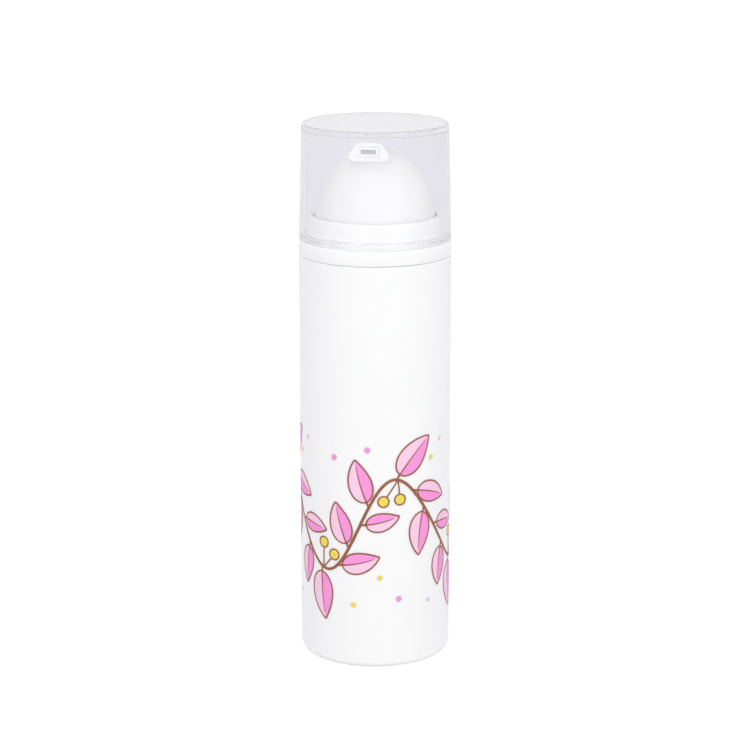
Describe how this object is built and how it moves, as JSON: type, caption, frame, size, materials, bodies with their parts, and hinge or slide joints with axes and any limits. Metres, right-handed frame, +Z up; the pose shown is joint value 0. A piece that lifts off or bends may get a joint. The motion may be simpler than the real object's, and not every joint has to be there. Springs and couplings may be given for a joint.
{
  "type": "airless pump bottle",
  "caption": "Straight round airless pump bottle with a rising piston floor, a sprung pump, a domed head with a slot nozzle and a clear lift-off cap.",
  "frame": {"origin": "middle of the bottle's foot, in the plane that it stands on", "axes": "+Z up along the bottle, -Y towards the nozzle, +X to the right of someone who looks at the nozzle"},
  "size_m": [0.046, 0.046, 0.1642],
  "materials": {
    "bottle_white": "smooth white moulding with a soft shine",
    "collar_white": "smooth white moulding with a soft shine",
    "head_white": "smooth white moulding with a satin shine",
    "clear_plastic": "clear, polished, with a faint grey cast",
    "natural_plastic": "uncoloured milky moulding",
    "soft_plastic": "soft uncoloured moulding",
    "gasket_rubber": "matt pale elastomer",
    "steel": "bright drawn stainless steel"
  },
  "bodies": {
    "bottle": {"bottle_body": "bottle_white", "neck_gasket": "gasket_rubber", "pump_carrier": "natural_plastic", "shoulder_ring": "collar_white", "housing_gasket": "gasket_rubber", "pump_housing": "natural_plastic", "ball_retainer": "natural_plastic", "stem_guide": "natural_plastic", "return_spring": "steel"},
    "cap": {"overcap": "clear_plastic"},
    "stem": {"pump_stem": "natural_plastic", "piston_rod": "natural_plastic"},
    "head": {"actuator_head": "head_white", "nozzle_insert": "head_white"},
    "piston": {"pump_piston": "soft_plastic"},
    "follower": {"follower_piston": "natural_plastic"},
    "ball": {"inlet_ball": "steel"}
  },
  "joints": [
    {"name": "cap_lift", "type": "slide", "parent": "bottle", "child": "cap", "axis": [0, 0, 1], "range_m": [0, 0.045]},
    {"name": "head_press", "type": "slide", "parent": "bottle", "child": "stem", "axis": [0, 0, -1], "range_m": [0, 0.0075], "stiffness_N_per_m": 1600, "springref_m": -0.005, "deforming": ["return_spring"]},
    {"name": "head_swivel", "type": "hinge", "parent": "stem", "child": "head", "pos_m": [0, 0, 0.15], "axis": [0, 0, 1], "continuous": true},
    {"name": "piston_float", "type": "slide", "parent": "stem", "child": "piston", "axis": [0, 0, 1], "range_m": [0, 0.0008]},
    {"name": "follower_rise", "type": "slide", "parent": "bottle", "child": "follower", "axis": [0, 0, 1], "range_m": [0, 0.1004]},
    {"name": "ball_lift", "type": "slide", "parent": "bottle", "child": "ball", "axis": [0, 0, 1], "range_m": [0, 0.0012]}
  ]
}
